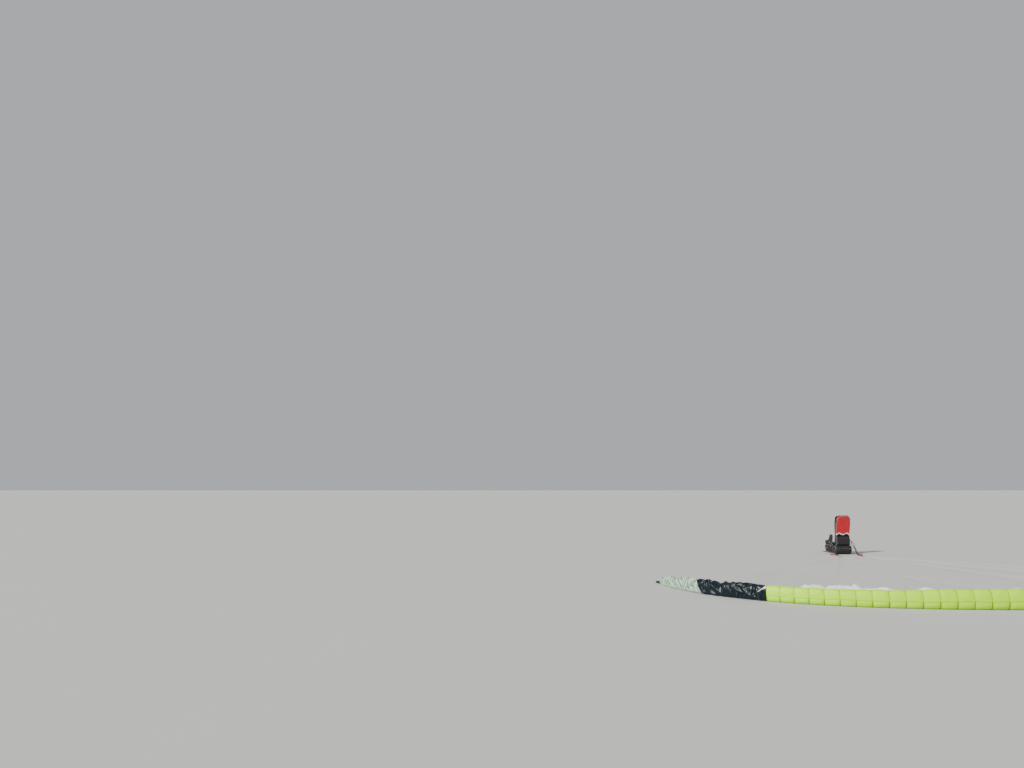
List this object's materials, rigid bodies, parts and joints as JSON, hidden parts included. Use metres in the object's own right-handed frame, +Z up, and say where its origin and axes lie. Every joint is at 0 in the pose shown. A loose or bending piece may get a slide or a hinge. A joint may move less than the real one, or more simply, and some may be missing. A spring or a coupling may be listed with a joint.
{
  "type": "paraglider with lines, risers and harness, laid out for launch",
  "caption": "Solo paraglider laid out on the ground in an arc, nose standing up, with lines, risers, carabiners, brake handles and an empty seat harness.",
  "frame": {"origin": "on the ground, under the middle of the box round the whole paraglider", "axes": "+Y flight direction, from the canopy's nose towards the harness; -X the paraglider's own left; +Z up"},
  "size_m": [9.3918, 7.3968, 0.821],
  "materials": {
    "lime_cloth": "satin",
    "navy_cloth": "satin",
    "mint_cloth": "satin",
    "white_cloth": "satin",
    "line": "matte",
    "webbing": "matte",
    "black_cloth": "matte",
    "red_cloth": "matte",
    "plastic": "matte",
    "steel": "brushed",
    "alloy": "satin"
  },
  "bodies": {
    "wing_and_harness": {"canopy_left_tip": "mint_cloth", "canopy_right_tip": "mint_cloth", "canopy_left_outer": "navy_cloth", "canopy_right_outer": "navy_cloth", "canopy_left": "lime_cloth", "canopy_right": "lime_cloth", "canopy_centre": "lime_cloth", "lower_skin_left_outer": "white_cloth", "lower_skin_right_outer": "white_cloth", "lower_skin_left": "white_cloth", "lower_skin_right": "white_cloth", "lower_skin_centre": "white_cloth", "lines_a_left": "line", "lines_a_right": "line", "lines_b_left": "line", "lines_b_right": "line", "lines_c_left": "line", "lines_c_right": "line", "brake_lines_left": "line", "brake_lines_right": "line", "quick_link_a_left": "steel", "quick_link_a_right": "steel", "quick_link_b_left": "steel", "quick_link_b_right": "steel", "quick_link_c_left": "steel", "quick_link_c_right": "steel", "riser_left": "webbing", "riser_right": "webbing", "brake_handle_left": "red_cloth", "brake_handle_right": "red_cloth", "carabiner_left": "alloy", "carabiner_right": "alloy", "hanging_strap_left": "webbing", "hanging_strap_right": "webbing", "protector": "black_cloth", "back": "black_cloth", "back_panel": "red_cloth", "reserve_container": "black_cloth", "reserve_handle": "red_cloth", "side_panel_left": "black_cloth", "side_panel_right": "black_cloth", "shoulder_strap_left": "black_cloth", "shoulder_strap_right": "black_cloth", "chest_strap_left": "webbing", "chest_strap_right": "webbing", "speed_bar": "alloy"},
    "seat": {"seat": "black_cloth", "leg_strap_left": "webbing", "leg_strap_right": "webbing"},
    "gate_left": {"carabiner_gate_left": "alloy"},
    "gate_right": {"carabiner_gate_right": "alloy"},
    "sheave_left": {"brake_sheave_left": "plastic"},
    "sheave_right": {"brake_sheave_right": "plastic"}
  },
  "joints": [
    {"name": "seat_fold", "type": "hinge", "parent": "wing_and_harness", "child": "seat", "pos_m": [0, 3.19669, 0.2173], "axis": [1, 0, 0], "range_deg": [0, 50]},
    {"name": "gate_left", "type": "hinge", "parent": "wing_and_harness", "child": "gate_left", "pos_m": [-0.2045, 3.12861, 0.19421], "axis": [0, -0.666, 0.7459], "range_deg": [0, 25], "stiffness_Nm_per_rad": 0.5, "springref_deg": -5.73},
    {"name": "gate_right", "type": "hinge", "parent": "wing_and_harness", "child": "gate_right", "pos_m": [0.2045, 3.12861, 0.19421], "axis": [0, 0.666, -0.7459], "range_deg": [0, 25], "stiffness_Nm_per_rad": 0.5, "springref_deg": -5.73},
    {"name": "brake_sheave_left", "type": "hinge", "parent": "wing_and_harness", "child": "sheave_left", "pos_m": [-0.264, 2.83069, 0.005], "axis": [0, 0, 1], "continuous": true},
    {"name": "brake_sheave_right", "type": "hinge", "parent": "wing_and_harness", "child": "sheave_right", "pos_m": [0.264, 2.83069, 0.005], "axis": [0, 0, 1], "continuous": true}
  ]
}
